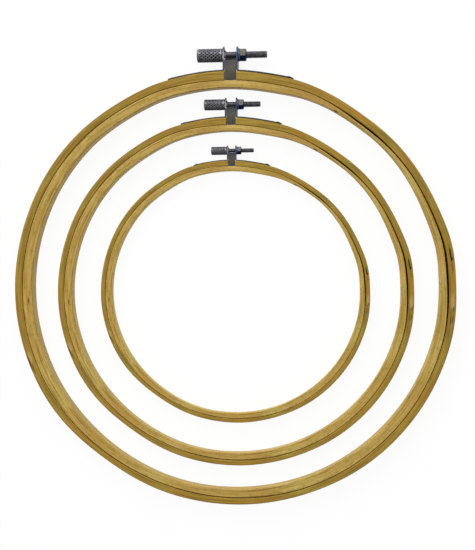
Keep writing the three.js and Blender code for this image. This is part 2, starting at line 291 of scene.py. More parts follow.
def wobble(angles, source, lowest, highest, size):
    """A seeded wobble round a ring, with fewer millimetres in each faster wave."""
    total = np.zeros(len(angles))
    for waves in range(lowest, highest + 1):
        phase = source.uniform(0, 2 * math.pi)
        total += size * lowest / waves * source.uniform(0.4, 1.0) * np.cos(waves * angles + phase)
    return total


class Hoop:
    """One hoop's sizes in millimetres at its own gauge."""

    def __init__(self, name, radius, gauge, shift, rounder):
        self.name = name
        self.rounder = rounder
        self.radius = radius
        self.gauge = gauge
        self.scale = radius / LARGE_RADIUS
        self.centre_y = ORIGIN_Y + shift
        self.height = RIM_HEIGHT * gauge
        self.middle = self.height / 2
        self.wall_inside = radius - OUTER_WALL * gauge
        self.ring_outside = self.wall_inside - SEAM_CLEARANCE * gauge
        self.ring_inside = self.wall_inside - RING_CLEARANCE - INNER_WALL * gauge
        self.half_gap = CLAMP_GAP / 2 * gauge
        self.sheet = SHEET * gauge
        self.lug_face = self.half_gap + self.sheet
        self.lug_top = radius + LUG_HEIGHT * gauge
        self.screw_y = radius + SCREW_STANDOFF * gauge
        self.shaft = SHAFT_DIAMETER / 2 * gauge
        self.bore = self.shaft + BORE_PLAY

    def place(self, points):
        """Points about the middle of the hoop's base in millimetres, as points of the set in metres."""
        return (np.asarray(points, float) + [0, self.centre_y, 0]) * MM

    def bend(self, angles):
        """How far out the hand bend moves both rings at each angle."""
        shape = BEND_MEAN + BEND_SWING * np.cos(2 * (angles - BEND_TURN)) + self.rounder * (
            ROUNDER_MEAN + ROUNDER_SWING * np.cos(2 * angles) + ROUNDER_SIDE * np.cos(angles))
        return (clamp_fade(angles) * shape + spots(angles, BEND_SPOTS)) * self.scale

    def moved(self, angles, places):
        """How far out the hand bend and a face's own spots move it at each angle."""
        return self.bend(angles) + spots(angles, places) * self.scale

    def wood_at(self, turn):
        """How far from the middle the outer ring's outside lies, at a turn from +Y towards +X."""
        return self.radius + float(self.moved(np.array([math.pi / 2 - turn]), OUTSIDE_SPOTS)[0])

    def ring_top(self):
        """How far from the middle the inner ring's outside lies at the clamp."""
        return self.ring_outside + float(self.moved(np.array([math.pi / 2]), RING_OUTSIDE_SPOTS)[0])

    def turn_at(self, x):
        """How far round from +Y a piece lies that stands at x from the middle of the clamp gap."""
        return math.asin(x * self.gauge / self.radius)


# Mesh making

def new_object(name, data):
    """An object in the scene that shows the data."""
    made = bpy.data.objects.new(name, data)
    bpy.context.scene.collection.objects.link(made)
    return made


def loft_faces(rings, sides, closed):
    """Quads of a loft of closed sections, with end caps unless the loft itself is closed."""
    faces = []
    for i in range(rings if closed else rings - 1):
        a, b = i * sides, (i + 1) % rings * sides
        faces += [(a + j, a + (j + 1) % sides, b + (j + 1) % sides, b + j) for j in range(sides)]
    if not closed:
        faces.append(tuple(range(sides))[::-1])
        faces.append(tuple((rings - 1) * sides + j for j in range(sides)))
    return faces


def loft(hoop, name, sections, closed=False):
    """A mesh object through sections, an array of rings by sides by 3, with its faces turned outwards."""
    rings, sides = sections.shape[:2]
    mesh = bpy.data.meshes.new(name)
    points = hoop.place(sections.reshape(-1, 3))
    mesh.from_pydata([tuple(p) for p in points], [], loft_faces(rings, sides, closed))
    shell = bmesh.new()
    shell.from_mesh(mesh)
    bmesh.ops.recalc_face_normals(shell, faces=shell.faces)
    shell.to_mesh(mesh)
    shell.free()
    return new_object(name, mesh)


def keep_values(made, name, kind, values):
    """Stores values on the mesh's points, for the materials to read."""
    layer = made.data.attributes.new(name, kind, "POINT")
    key = "vector" if kind == "FLOAT_VECTOR" else "value"
    layer.data.foreach_set(key, np.asarray(values, np.float32).ravel())


def combine(made, others, operation):
    """Joins or cuts other objects into this one and removes them."""
    for other in others:
        step = made.modifiers.new(operation, "BOOLEAN")
        step.object = other
        step.operation = operation
        step.solver = "EXACT"
    bpy.context.view_layer.update()
    ready = made.evaluated_get(bpy.context.evaluated_depsgraph_get())
    mesh = bpy.data.meshes.new_from_object(ready)
    made.modifiers.clear()
    made.data = mesh
    for other in others:
        bpy.data.objects.remove(other)
    return made


def soften(profile, radius, steps=3, closed=False):
    """A polyline whose corners are rounded to about the given radius."""
    points = [Vector(p) for p in profile]
    count = len(points)
    rounded = []
    for i, corner in enumerate(points):
        if not closed and i in (0, count - 1):
            rounded.append(tuple(corner))
            continue
        before, after = points[i - 1] - corner, points[(i + 1) % count] - corner
        start = corner + before.normalized() * min(radius, before.length * CORNER_SHARE)
        end = corner + after.normalized() * min(radius, after.length * CORNER_SHARE)
        for k in range(steps + 1):
            t = k / steps
            rounded.append(tuple(start * (1 - t) ** 2 + corner * 2 * t * (1 - t) + end * t * t))
    return rounded


def full_turn(sides):
    """Angles of that many sides round a circle."""
    return np.linspace(0, 2 * math.pi, sides, endpoint=False)


def quarter_turn(places):
    """Angles from 0 to a right angle, both included."""
    return np.linspace(0, math.pi / 2, places)


def round_hoop(radius, angles, height):
    """Points at each radius and height, one row for each angle round the hoop."""
    return np.stack([radius * np.cos(angles)[:, None], radius * np.sin(angles)[:, None], height], axis=2)


def round_screw(hoop, x, radius, turns):
    """Points at each x and radius about the screw's axis, one column for each turn."""
    y = hoop.screw_y + radius * np.cos(turns)
    z = hoop.middle + radius * np.sin(turns)
    return np.stack(np.broadcast_arrays(x, y, z), axis=2)


def revolve_x(hoop, name, profile, closed=False):
    """A profile of (x, radius) turned about the screw's axis."""
    x, radius = np.array(profile, float).T
    sections = round_screw(hoop, x[:, None], radius[:, None], full_turn(ROUND_SIDES))
    return loft(hoop, name, sections, closed)


def revolve_out(hoop, name, profile, turn, sides=ROUND_SIDES // 2):
    """A profile of (distance from the hoop's centre, radius), turned about a line out of the rim."""
    turns = full_turn(sides)
    out, radius = np.array(profile, float).T
    x = radius[:, None] * np.cos(turns)
    y = out[:, None]
    z = hoop.middle + radius[:, None] * np.sin(turns)
    cosine, sine = math.cos(turn), math.sin(turn)
    return loft(hoop, name, np.stack([x * cosine - y * sine, x * sine + y * cosine, z], axis=2))


# Rings

def ring_template():
    """A rounded section's points: places across and up its core, and their corners' cosines and sines."""
    corners = ((1, 0), (1, 1), (0, 1), (0, 0))
    rows = []
    for corner, (across, up) in enumerate(corners):
        for k in range(CORNER_STEPS + 1):
            turn = (corner - 1 + k / CORNER_STEPS) * math.pi / 2
            rows.append((across, up, math.cos(turn), math.sin(turn)))
        next_across, next_up = corners[(corner + 1) % len(corners)]
        turn = corner * math.pi / 2
        for k in range(1, FACE_STEPS):
            t = k / FACE_STEPS
            rows.append((across + (next_across - across) * t, up + (next_up - up) * t,
                         math.cos(turn), math.sin(turn)))
    return np.array(rows).T


def ring_points(inside, outside, low, high, corner, foot):
    """Radius and height of section points, a row for each angle. The foot stands out below the top."""
    across, up, cosine, sine = ring_template()
    radius = (inside + corner)[:, None] + across * (outside - inside - 2 * corner)[:, None]
    height = (low + corner)[:, None] + up * (high - low - 2 * corner)[:, None]
    foot_share = across * smooth((FOOT_TOP - up) / FOOT_EASE)
    radius = radius + corner[:, None] * cosine + foot[:, None] * foot_share
    return radius, height + corner[:, None] * sine


def keep_ring_grain(hoop, made, angles, inside, outside, corner):
    """Stores each point's place on an unbent ring of the large hoop's size, where the grain is drawn."""
    flat = np.ones(len(angles))
    none = 0 * flat
    radius, height = ring_points(inside * flat, outside * flat, none, hoop.height * flat, corner, none)
    grain = round_hoop(radius, angles, height) / [hoop.scale, hoop.scale, hoop.gauge]
    keep_values(made, "grain", "FLOAT_VECTOR", grain)


def inner_ring(hoop):
    """The closed ring, whose foot reaches out to the outer ring's wall."""
    angles = full_turn(RING_STEPS)
    source = random.Random(SEED + 1)
    flat = np.ones(len(angles))
    outside = hoop.ring_outside + hoop.moved(angles, RING_OUTSIDE_SPOTS)
    inside = hoop.ring_inside + hoop.moved(angles, INSIDE_SPOTS)
    inside = inside + wobble(angles, source, *INSIDE_WOBBLE) * hoop.scale
    low = INNER_BASE_LIFT * hoop.gauge * flat
    high = hoop.height - (INNER_TOP_DROP + wobble(angles, source, *TOP_WOBBLE)) * hoop.gauge
    corner = INNER_CORNER * hoop.gauge * flat
    wall = hoop.wall_inside + hoop.moved(angles, WALL_INSIDE_SPOTS)
    foot = wall - FOOT_PLAY * hoop.gauge - outside
    radius, height = ring_points(inside, outside, low, high, corner, foot)
    made = loft(hoop, f"{hoop.name}_inner_ring_bamboo", round_hoop(radius, angles, height), closed=True)
    keep_ring_grain(hoop, made, angles, hoop.ring_inside, hoop.ring_outside, corner)
    return made


def outer_angles(hoop):
    """Angles round the split ring, closest together where its ends are rounded."""
    gap_turn = math.asin(hoop.half_gap / hoop.radius)
    start, end = math.pi / 2 + gap_turn, math.pi * 5 / 2 - gap_turn
    ease = OUTER_END_ROUND * hoop.gauge / hoop.radius
    edges = [ease * (1 - math.cos(t)) for t in quarter_turn(CORNER_STEPS + 1)]
    angles = np.concatenate([[start + e for e in edges], np.linspace(start, end, RING_STEPS)[2:-2],
                             [end - e for e in reversed(edges)]])
    return angles, np.minimum(angles - start, end - angles) * hoop.radius


def nick(hoop, angles, radius, height):
    """How deep the nick in the top edge is at each point."""
    along = np.exp(-((degrees_between(angles, NICK_ANGLE) / NICK_HALF_WIDTH) ** 2))[:, None]
    out = smooth((radius / hoop.scale - NICK_RADIUS) / NICK_EASE)
    up = smooth((height / hoop.gauge - NICK_HEIGHT) / NICK_EASE)
    return NICK_DEPTH * hoop.gauge * along * out * up


def outer_ring(hoop):
    """The split ring. Its ends are parallel to each other across the clamp gap and have rounded edges."""
    angles, from_end = outer_angles(hoop)
    rounding = OUTER_END_ROUND * hoop.gauge
    inset = rounding_left(rounding, from_end)
    rough = clamp_fade(angles) * wobble(angles, random.Random(SEED + 2), *OUTSIDE_WOBBLE) * hoop.scale
    outside = hoop.radius + rough + hoop.moved(angles, OUTSIDE_SPOTS) - inset
    inside = hoop.wall_inside + hoop.moved(angles, WALL_INSIDE_SPOTS) + inset
    drop = OUTER_TOP_DROP * (2 + np.cos(OUTER_TOP_WAVES * angles + OUTER_TOP_PHASE))
    high = hoop.height - drop * hoop.gauge - inset
    corner = OUTER_CORNER * hoop.gauge * np.ones(len(angles))
    radius, height = ring_points(inside, outside, inset, high, corner, 0 * corner)
    height = height - nick(hoop, angles, radius, height)
    x, y, z = np.moveaxis(round_hoop(radius, angles, height), 2, 0)
    ends = (from_end < rounding)[:, None]
    cut = np.sign(np.cos(angles))[:, None] * (hoop.half_gap + from_end[:, None])
    y = np.where(ends, np.sqrt(np.maximum(radius**2 - cut**2, 0)), y)
    x = np.where(ends, cut, x)
    made = loft(hoop, f"{hoop.name}_outer_ring_bamboo", np.stack([x, y, z], axis=2))
    keep_ring_grain(hoop, made, angles, hoop.wall_inside, hoop.radius, corner)
    return made


# Sheet-metal brackets

def rounding_left(radius, distance):
    """How far a rounded corner draws its edge in, at a distance from the end."""
    return radius - np.sqrt(np.maximum(radius**2 - np.maximum(radius - distance, 0) ** 2, 0))


def sheet_loft(hoop, name, path, normals, side_axis, extents, halves):
    """Bent sheet metal with rounded edges. Each place has half a thickness and extents along side_axis."""
    corners = [((quarter + step / EDGE_STEPS) * math.pi / 2, signs)
               for quarter, signs in enumerate(((1, 1), (-1, 1), (-1, -1), (1, -1)))
               for step in range(EDGE_STEPS + 1)]
    side_axis = np.array(side_axis, float)
    rings = []
    for place, normal, (low, high), half in zip(path, normals, extents, halves):
        span, centre = (high - low) / 2, (high + low) / 2
        corner = min(SHEET_EDGE * hoop.gauge, half * EDGE_SHARE, span * EDGE_SHARE)
        ring = []
        for turn, (n_sign, s_sign) in corners:
            out = n_sign * (half - corner) + corner * math.cos(turn)
            aside = centre + s_sign * (span - corner) + corner * math.sin(turn)
            ring.append(np.array(place) + np.array(normal) * out + side_axis * aside)
        rings.append(ring)
    return loft(hoop, name, np.array(rings))


def end_distances(corner, round_to, count=5):
    """Places close to a sheet's end: fine within its rounded edge, and coarser to where it is square."""
    near = [corner * (1 - math.cos(t)) for t in quarter_turn(EDGE_STEPS + 1)]
    far = [corner + (round_to - corner) * (1 - math.cos(t)) for t in quarter_turn(count + 1)[1:]]
    return near + far


def bracket_sheet(hoop, side_name):
    """Strap, bend and lug in one sheet. Its path starts at the strap's far end."""
    side = SIDES[side_name]
    gauge = hoop.gauge
    half = hoop.sheet / 2
    edge = SHEET_EDGE * gauge
    half_width = SHEET_WIDTH / 2 * gauge
    end_round = STRAP_END_ROUND * gauge
    inside = BEND_RADIUS * gauge
    bend_x = hoop.lug_face + inside
    foot = hoop.wood_at(side * math.asin(bend_x / hoop.radius)) + STRAP_LIFT * gauge
    bend_y = math.sqrt((foot + hoop.sheet + inside) ** 2 - bend_x**2)
    path, normals, extents, halves = [], [], [], []

    def add(x, y, nx, ny, from_end=half_width, rounding=half_width):
        width = max(half_width - rounding_left(rounding, from_end), SHEET_LEAST_WIDTH * gauge)
        path.append((side * x, y, hoop.middle))
        normals.append((side * nx, ny, 0))
        extents.append((-width, width))
        halves.append(half - EDGE_SHARE * rounding_left(edge, from_end))

    strap_radius = hoop.radius + STRAP_LIFT * gauge + half
    end_turn = hoop.turn_at(STRAP_LENGTH)
    strap_length = (end_turn - math.atan2(bend_x, bend_y)) * strap_radius
    along_strap = np.linspace(end_round, strap_length, STRAP_STEPS)[1:]
    for along in [*end_distances(edge, end_round), *along_strap]:
        turn = end_turn - along / strap_radius
        x, y = math.sin(turn), math.cos(turn)
        out = hoop.wood_at(side * turn) + STRAP_LIFT * gauge + half
        add(out * x, out * y, x, y, along, end_round)
    foot_angle = math.pi + math.atan2(bend_y, bend_x)
    for angle in np.linspace(foot_angle, math.pi, BEND_STEPS)[1:]:
        x, y = math.cos(angle), math.sin(angle)
        add(bend_x + (inside + half) * x, bend_y + (inside + half) * y, -x, -y)
    lug_x = hoop.half_gap + half
    straight = hoop.lug_top - bend_y - half_width
    for share in LUG_PLACES:
        add(lug_x, hoop.lug_top - (half_width + straight * share), 1, 0)
    for from_top in reversed(end_distances(edge, half_width, LUG_STEPS)):
        add(lug_x, hoop.lug_top - from_top, 1, 0, from_top)
    name = f"{hoop.name}_{side_name}_bracket_steel"
    return sheet_loft(hoop, name, path, normals, (0, 0, 1), extents, halves)


def tongue_sheet(hoop):
    """The tongue, folded from the left lug's top edge and across the gap between the wood's ends."""
    gauge = hoop.gauge
    half = hoop.sheet / 2
    level = hoop.middle + SHEET_WIDTH / 2 * gauge - half
    near = SEAT_GAP - hoop.half_gap
    fold = near + hoop.half_gap + half
    top = hoop.screw_y - TONGUE_TO_SCREW * gauge
    lug_foot = hoop.radius + (STRAP_LIFT + SHEET + BEND_RADIUS) * gauge
    left_corner, right_corner = TONGUE_CORNER * gauge, TONGUE_RIGHT_CORNER * gauge
    foot = hoop.ring_top() + PLAY * 2 * gauge
    path, normals, extents = [], [], []

    def add(x, z, nx, nz, low):
        path.append((x, 0, z))
        normals.append((nx, 0, nz))
        extents.append((low, top))

    add(near - fold, level - fold - TONGUE_ROOT * gauge, -1, 0, lug_foot)
    for angle in np.linspace(math.pi, math.pi / 2, FOLD_STEPS):
        x, z = math.cos(angle), math.sin(angle)
        add(near + fold * x, level - fold * (1 - z), x, z, lug_foot)
    for turn in quarter_turn(TONGUE_STEPS):
        from_side = left_corner * (1 - math.cos(turn)) + SLIVER
        add(near + from_side, level, 0, 1, foot + rounding_left(left_corner, from_side))
    for from_side in (right_corner, right_corner / 3, SLIVER):
        low = foot + rounding_left(right_corner, from_side)
        add(hoop.half_gap - PLAY * gauge - from_side, level, 0, 1, low)
    return sheet_loft(hoop, "tongue", path, normals, (0, 1, 0), extents, [half] * len(path))


def collar(hoop, hole):
    """The collar drawn out of the left lug round the shaft. Its hole is cut later."""
    gauge = hoop.gauge
    flare = [(out * gauge - hoop.half_gap, hole + (COLLAR_WALL + up) * gauge) for out, up in COLLAR_FLARE]
    profile = [(flare[0][0], SLIVER), *flare, (flare[-1][0], SLIVER)]
    return revolve_x(hoop, "collar", soften(profile, COLLAR_ROUND * gauge))


def tack_cutter(hoop, side, place):
    """A rod that cuts a tack's hole in the strap."""
    turn = side * hoop.turn_at(place)
    wood = hoop.wood_at(turn)
    radius = (TACK_SHANK_DIAMETER / 2 + TACK_HOLE_PLAY) * hoop.gauge
    profile = [(wood + reach * hoop.gauge, radius) for reach in TACK_HOLE_REACH]
    return revolve_out(hoop, "cutter", profile, -turn, TACK_HOLE_SIDES)


def bracket(hoop, side_name):
    """One bracket with its holes, and on the left one its tongue and collar."""
    made = bracket_sheet(hoop, side_name)
    hole = hoop.bore
    if side_name == "left":
        hole = hoop.shaft + SEAT_GAP * hoop.gauge / 2
        combine(made, [tongue_sheet(hoop), collar(hoop, hole)], "UNION")
    reach = 2 * hoop.lug_face
    cutters = [revolve_x(hoop, "cutter", [(-reach, hole), (reach, hole)])]
    cutters += [tack_cutter(hoop, SIDES[side_name], place) for place in TACK_PLACES.values()]
    return combine(made, cutters, "DIFFERENCE")


def tack(hoop, side_name, place_name):
    """A dome-headed tack through the strap into the wood."""
    gauge = hoop.gauge
    shank, head = TACK_SHANK_DIAMETER / 2 * gauge, TACK_HEAD_DIAMETER / 2 * gauge
    turn = SIDES[side_name] * hoop.turn_at(TACK_PLACES[place_name])
    wood = hoop.wood_at(turn)
    seat = wood + (STRAP_LIFT + SHEET) * gauge
    tip = wood - TACK_GRIP * gauge
    rim = DOME_RIM * gauge
    dome = DOME_HEIGHTS[place_name] * gauge - rim
    profile = [(tip, POINT), (tip + TACK_POINT_LENGTH * gauge, shank), (seat, shank),
               (seat, head - rim / 2), (seat + rim, head)]
    for t in quarter_turn(DOME_STEPS)[1:]:
        profile.append((seat + rim + dome * math.sin(t), max(head * math.cos(t), POINT)))
    return revolve_out(hoop, f"{hoop.name}_{side_name}_{place_name}_tack_steel", profile, -turn)


# Thumb screw, washer and nut

def zigzag(turns):
    """1 at each whole turn and 0 halfway between them."""
    return np.abs(turns % 1 * 2 - 1)


def crests(wave, steepness, cut):
    """A wave between 0 and 1 made steeper, with its roots and crests cut flat."""
    return np.clip(wave * steepness - cut, 0, 1)


def thumb_screw(hoop):
    """Knurled head and threaded shaft in one loft, which keeps how rubbed each point is."""
    gauge = hoop.gauge
    sides = 2 * KNURLS_AROUND * KNURL_STEPS
    turns = full_turn(sides)
    head = HEAD_DIAMETER / 2 * gauge
    shoulder = -(hoop.lug_face + PLAY * gauge)
    head_end = -(hoop.lug_face + SEAT_GAP + HEAD_LENGTH * gauge)
    chamfer = HEAD_CHAMFER * gauge
    rows = []

    def add(x, radius, rubbed):
        flat = np.ones(sides)
        rows.append((x * flat, radius * flat, rubbed * flat))

    def round_over(x, inward):
        for t in quarter_turn(HEAD_EDGE_STEPS):
            sine, cosine = (math.sin(t), math.cos(t)) if inward > 0 else (math.cos(t), math.sin(t))
            add(x + inward * chamfer * (1 - cosine), head - chamfer * (1 - sine), EDGE_RUB)

    add(head_end + HEAD_DISH_DEPTH * gauge, HEAD_DISH_RADIUS * gauge, END_RUB)
    add(head_end + HEAD_RIM_DEPTH * gauge, head - HEAD_RIM_WIDTH * gauge, END_RUB)
    round_over(head_end, 1)
    knurl_rows = 2 * KNURLS_ALONG * KNURL_STEPS
    knurl_start, knurl_end = head_end + chamfer, shoulder - chamfer
    around = np.arange(sides) / (2 * KNURL_STEPS)
    for row in range(knurl_rows + 1):
        along = row / (2 * KNURL_STEPS)
        ridges = [zigzag(around + way * along) for way in (1, -1)]
        ease = min(row, knurl_rows - row, KNURL_STEPS) / KNURL_STEPS
        hollow = (1 - crests(np.maximum(*ridges), *KNURL_CREST)) * ease
        x = knurl_start + (knurl_end - knurl_start) * row / knurl_rows
        add(x, head - KNURL_DEPTH * gauge * hollow, 1 - hollow)
    round_over(shoulder, -1)
    add(shoulder, hoop.shaft - NECK_UNDERCUT * gauge, EDGE_RUB)
    pitch = THREAD_PITCH * gauge
    crest = hoop.shaft + THREAD_OVER_SHAFT * gauge
    tip = (SHAFT_REACH - TIP_SHORT) * gauge
    thread_rows = int((tip - shoulder) / pitch * THREAD_STEPS)
    for row in range(1, thread_rows + 1):
        x = shoulder + (tip - shoulder) * row / thread_rows
        proud = crests(zigzag(x / pitch - turns / (2 * math.pi)), *THREAD_CREST)
        limit = crest - max(x - (tip - TIP_CHAMFER * gauge), 0)
        radius = np.minimum(crest - THREAD_DEPTH * gauge * (1 - proud), limit)
        add(x, radius, ROOT_RUB + CREST_RUB * proud)
    x, radius, rubbed = (np.array(part) for part in zip(*rows))
    made = loft(hoop, f"{hoop.name}_thumb_screw_steel", round_screw(hoop, x, radius, turns))
    keep_values(made, "rubbed", "FLOAT", rubbed)
    return made


def washer(hoop):
    """A flat washer with rounded edges."""
    gauge = hoop.gauge
    start = hoop.lug_face + PLAY * gauge
    end = start + (WASHER_THICKNESS + SEAT_GAP) * gauge
    outside = WASHER_DIAMETER / 2 * gauge
    profile = [(start, hoop.bore), (start, outside), (end, outside), (end, hoop.bore)]
    profile = soften(profile, WASHER_ROUND * gauge, WASHER_EDGE_STEPS, closed=True)
    return revolve_x(hoop, f"{hoop.name}_washer_blue", profile, closed=True)


def nut(hoop):
    """Hexagon nut with a corner near its top. Cones across its ends leave arcs on the flats."""
    gauge = hoop.gauge
    turns = full_turn(NUT_SIDES * FLAT_STEPS)
    half_side = math.pi / NUT_SIDES
    flat = NUT_ACROSS_FLATS / 2 * gauge
    hexagon = flat / np.cos((turns + half_side) % (2 * half_side) - half_side)
    face = NUT_FACE_SHARE * flat
    sink = NUT_CHAMFER * gauge * (hexagon - face) / (hexagon.max() - face)
    start = hoop.lug_face + (WASHER_THICKNESS + SEAT_GAP + 2 * PLAY) * gauge
    end = start + (NUT_THICKNESS + SEAT_GAP - NUT_SHORT) * gauge
    ones = np.ones(len(turns))
    countersink = NUT_COUNTERSINK * gauge
    rows = []
    for x, inward in ((start, 1), (end, -1)):
        rings = [((x + inward * countersink) * ones, hoop.bore * ones),
                 (x * ones, (hoop.bore + countersink) * ones),
                 (x * ones, face * ones),
                 (x + inward * sink, hexagon)]
        rows += rings if inward > 0 else rings[::-1]
    x, radius = (np.array(part) for part in zip(*rows))
    sections = round_screw(hoop, x, radius, turns + NUT_TURN)
    made = loft(hoop, f"{hoop.name}_nut_steel", sections, closed=True)
    bevel = made.modifiers.new("bevel", "BEVEL")
    bevel.width = NUT_BEVEL * gauge * MM
    bevel.segments = 2
    bevel.limit_method = "ANGLE"
    bevel.angle_limit = NUT_BEVEL_FROM
    return made


# Materials. A reach goes from where a change begins to where it is full, in millimetres at a gauge of 1.

# The groove between the rings, painted dark red-brown as shade below their tops and out from the outer
# ring's wall
WALL_INSIDE = LARGE_RADIUS - OUTER_WALL
GROOVE_DEPTH = (0.1, 0.4)
INNER_GROOVE = (-0.9, -0.5)
OUTER_GROOVE = (0.5, 0.05)

# The inner ring's inside: how near to it the wood is painted paler, as painted light on its wall, with a
# dark line along the edge, and where across the hoop that line shows
RING_INSIDE = WALL_INSIDE - RING_CLEARANCE - INNER_WALL
WALL_LIGHT_REACH = (0.9, 0.5)
WALL_LIGHT_DEPTH = (0.35, 0.8)
LINE_TOP_DEPTH = (0.15, 0.45)
LINE_BASE_DEPTH = (1.1, 0.7)
LINE_X = (40.0, -70.0)

# Marks on the rings, as the picture shows them on the large hoop: angle, radius, length, width, colour and
# strength. A strong one is also hollow.
HOLLOW_OVER = 0.6
MARK_DEPTH = 1.2
INNER_MARKS = (
    (59.6, 120.4, 2.2, 1.3, "140C04", 1.2), (182.0, 122.5, 2.8, 0.6, "54480E", 1.0),
    (232, 121.6, 3.0, 0.3, "7A5A22", 0.5), (238, 121.9, 3.5, 0.3, "7A5A22", 0.5),
    (243, 121.5, 2.5, 0.3, "7A5A22", 0.5), (172, 123.0, 6.0, 0.3, "8A6A2C", 0.5),
)
OUTER_MARKS = (
    (9.8, 127.9, 5.0, 0.7, "3A1E06", 1.6), (8.4, 128.4, 1.8, 0.8, "1E0E02", 1.5),
    (2.6, 129.3, 14.0, 2.2, "A8761A", 1.1), (6.2, 128.6, 4.0, 0.5, "6A4008", 0.9),
    (357.4, 127.9, 7.0, 1.9, "B89858", 0.8), (355.0, 127.6, 2.5, 1.2, "74661A", 0.75),
    (355.6, 128.6, 2.6, 0.4, "4A3010", 1.2), (352.9, 128.6, 4.0, 0.4, "4A3010", 1.2),
    (352.6, 127.4, 4.0, 0.4, "4A3010", 1.1), (198.7, 129.3, 6.5, 0.8, "5E3410", 1.2),
    (200.6, 128.3, 4.8, 0.6, "5E3E12", 1.0), (197.4, 127.8, 5.0, 1.4, "C6A86C", 0.6),
    (53, 129.3, 16.0, 1.6, "A8741A", 0.9), (37, 129.4, 18.0, 1.3, "A0741E", 0.7),
    (20, 129.4, 14.0, 0.5, "8A5A14", 0.6), (338, 129.4, 14.0, 0.5, "8A5A14", 0.5),
)

# Fineness of the grain up a ring's walls, as a share of its fineness across the ring
WALL_FINENESS = 0.5

# The right strap is painted darker towards its end, as painted shade. The tongue is painted olive-grey, by x
# times a slant less y, as a painted reflection of the wood, and painted dark beside the screw as the screw's
# painted shadow. The left lug has a painted highlight round its collar.
STRAP_SHADE_X = (12.0, 26.0)
TONGUE_X = (CLAMP_GAP / 2 + 0.2, CLAMP_GAP / 2 - 0.3)
WOOD_REFLECTION_SLANT = 1.2
WOOD_REFLECTION_REACH = (-139.0, -129.0)
SCREW_SHADOW_Y = (130.5, 135.6)
EDGE_SHADOW_Y = (135.6, 136.5)
HIGHLIGHT_PLACE = (-3.7, 138.5, 0.0)
HIGHLIGHT_SIZES = (1.0, 0.6, 0.0)
HIGHLIGHT_REACH = (1.7, 0.8)

# The nut has painted navy shade on the side towards the wood, and the washer a painted highlight at its free
# face
SCREW_LINE = LARGE_RADIUS + SCREW_STANDOFF
NUT_SHADE_Y = (SCREW_LINE - 0.6, SCREW_LINE - 2.2)
WASHER_FACE = CLAMP_GAP / 2 + SHEET + WASHER_THICKNESS
WASHER_HIGHLIGHT_X = (WASHER_FACE - 0.3, WASHER_FACE)


def srgb(code):
    """Linear colour of a hexadecimal sRGB code."""
    parts = [int(code[i:i + 2], 16) / 255 for i in (0, 2, 4)]
    return tuple(p / 12.92 if p <= 0.04045 else ((p + 0.055) / 1.055) ** 2.4 for p in parts) + (1.0,)


class Nodes:
    """A node tree, with short calls that add nodes to it."""

    def __init__(self, tree):
        self.tree = tree

    def feed(self, socket, value):
        if isinstance(value, bpy.types.NodeSocket):
            self.tree.links.new(value, socket)
        else:
            socket.default_value = value

    def node(self, kind, inputs=(), **settings):
        made = self.tree.nodes.new(kind)
        for key, value in settings.items():
            setattr(made, key, value)
        for key, value in dict(inputs).items():
            self.feed(made.inputs[key], value)
        return made

    def math(self, operation, *values):
        return self.node("ShaderNodeMath", enumerate(values), operation=operation).outputs[0]

    def times(self, product, *factors):
        for factor in factors:
            product = self.math("MULTIPLY", product, factor)
        return product

    def split(self, vector):
        return tuple(self.node("ShaderNodeSeparateXYZ", {0: vector}).outputs)

    def remap(self, value, low, high, new_low=0.0, new_high=1.0):
        inputs = {"Value": value, "From Min": low, "From Max": high, "To Min": new_low, "To Max": new_high}
        return self.node("ShaderNodeMapRange", inputs, interpolation_type="SMOOTHSTEP").outputs[0]

    def noise(self, vector, scale, detail=2.0, roughness=0.5, **more):
        inputs = {"Vector": vector, "Scale": scale, "Detail": detail, "Roughness": roughness}
        inputs.update(more)
        dimensions = "4D" if "W" in more else "3D"
        return self.node("ShaderNodeTexNoise", inputs, noise_dimensions=dimensions).outputs[0]

    def stretch(self, vector, sizes):
        return self.node("ShaderNodeVectorMath", {0: vector, 1: sizes}, operation="MULTIPLY").outputs[0]

    def mix(self, factor, a, b):
        return self.node("ShaderNodeMix", {0: factor, 6: a, 7: b}, data_type="RGBA").outputs[2]

    def tint(self, colour, code, value, low, high, strength):
        """The colour turned towards another by up to a strength, where a value goes from low to high."""
        return self.mix(self.remap(value, low, high, 0.0, strength), colour, srgb(code))


class Shader(Nodes):
    """A material. Constants are set on its surface's sockets."""

    def __init__(self, name, **constants):
        self.material = bpy.data.materials.new(name)
        self.material.use_nodes = True
        super().__init__(self.material.node_tree)
        self.surface = self.tree.nodes["Principled BSDF"]
        self.finish(**constants)

    def value(self, name, kind):
        return self.node("ShaderNodeAttribute", attribute_name=name).outputs[kind]

    def bump(self, height, distance, strength):
        inputs = {"Height": height, "Distance": distance * MM, "Strength": strength}
        self.feed(self.surface.inputs["Normal"], self.node("ShaderNodeBump", inputs).outputs[0])

    def finish(self, **sockets):
        for socket, value in sockets.items():
            self.feed(self.surface.inputs[socket.replace("_", " ")], value)
        return self.material


def spot_mask(shader, grain, degrees, radius, length, width):
    """1 in the middle of a mark on a ring and 0 outside it. The mark is long the way the grain runs."""
    turn = math.radians(degrees)
    place = (radius * math.cos(turn), radius * math.sin(turn), RIM_HEIGHT)
    inputs = {"Vector": grain, "Location": place, "Rotation": (0, 0, turn + math.pi / 2),
              "Scale": (length, width, MARK_DEPTH)}
    local = shader.node("ShaderNodeMapping", inputs, vector_type="TEXTURE").outputs[0]
    distance = shader.node("ShaderNodeVectorMath", {0: local}, operation="LENGTH").outputs["Value"]
    return shader.remap(distance, 1.0, 0.3)


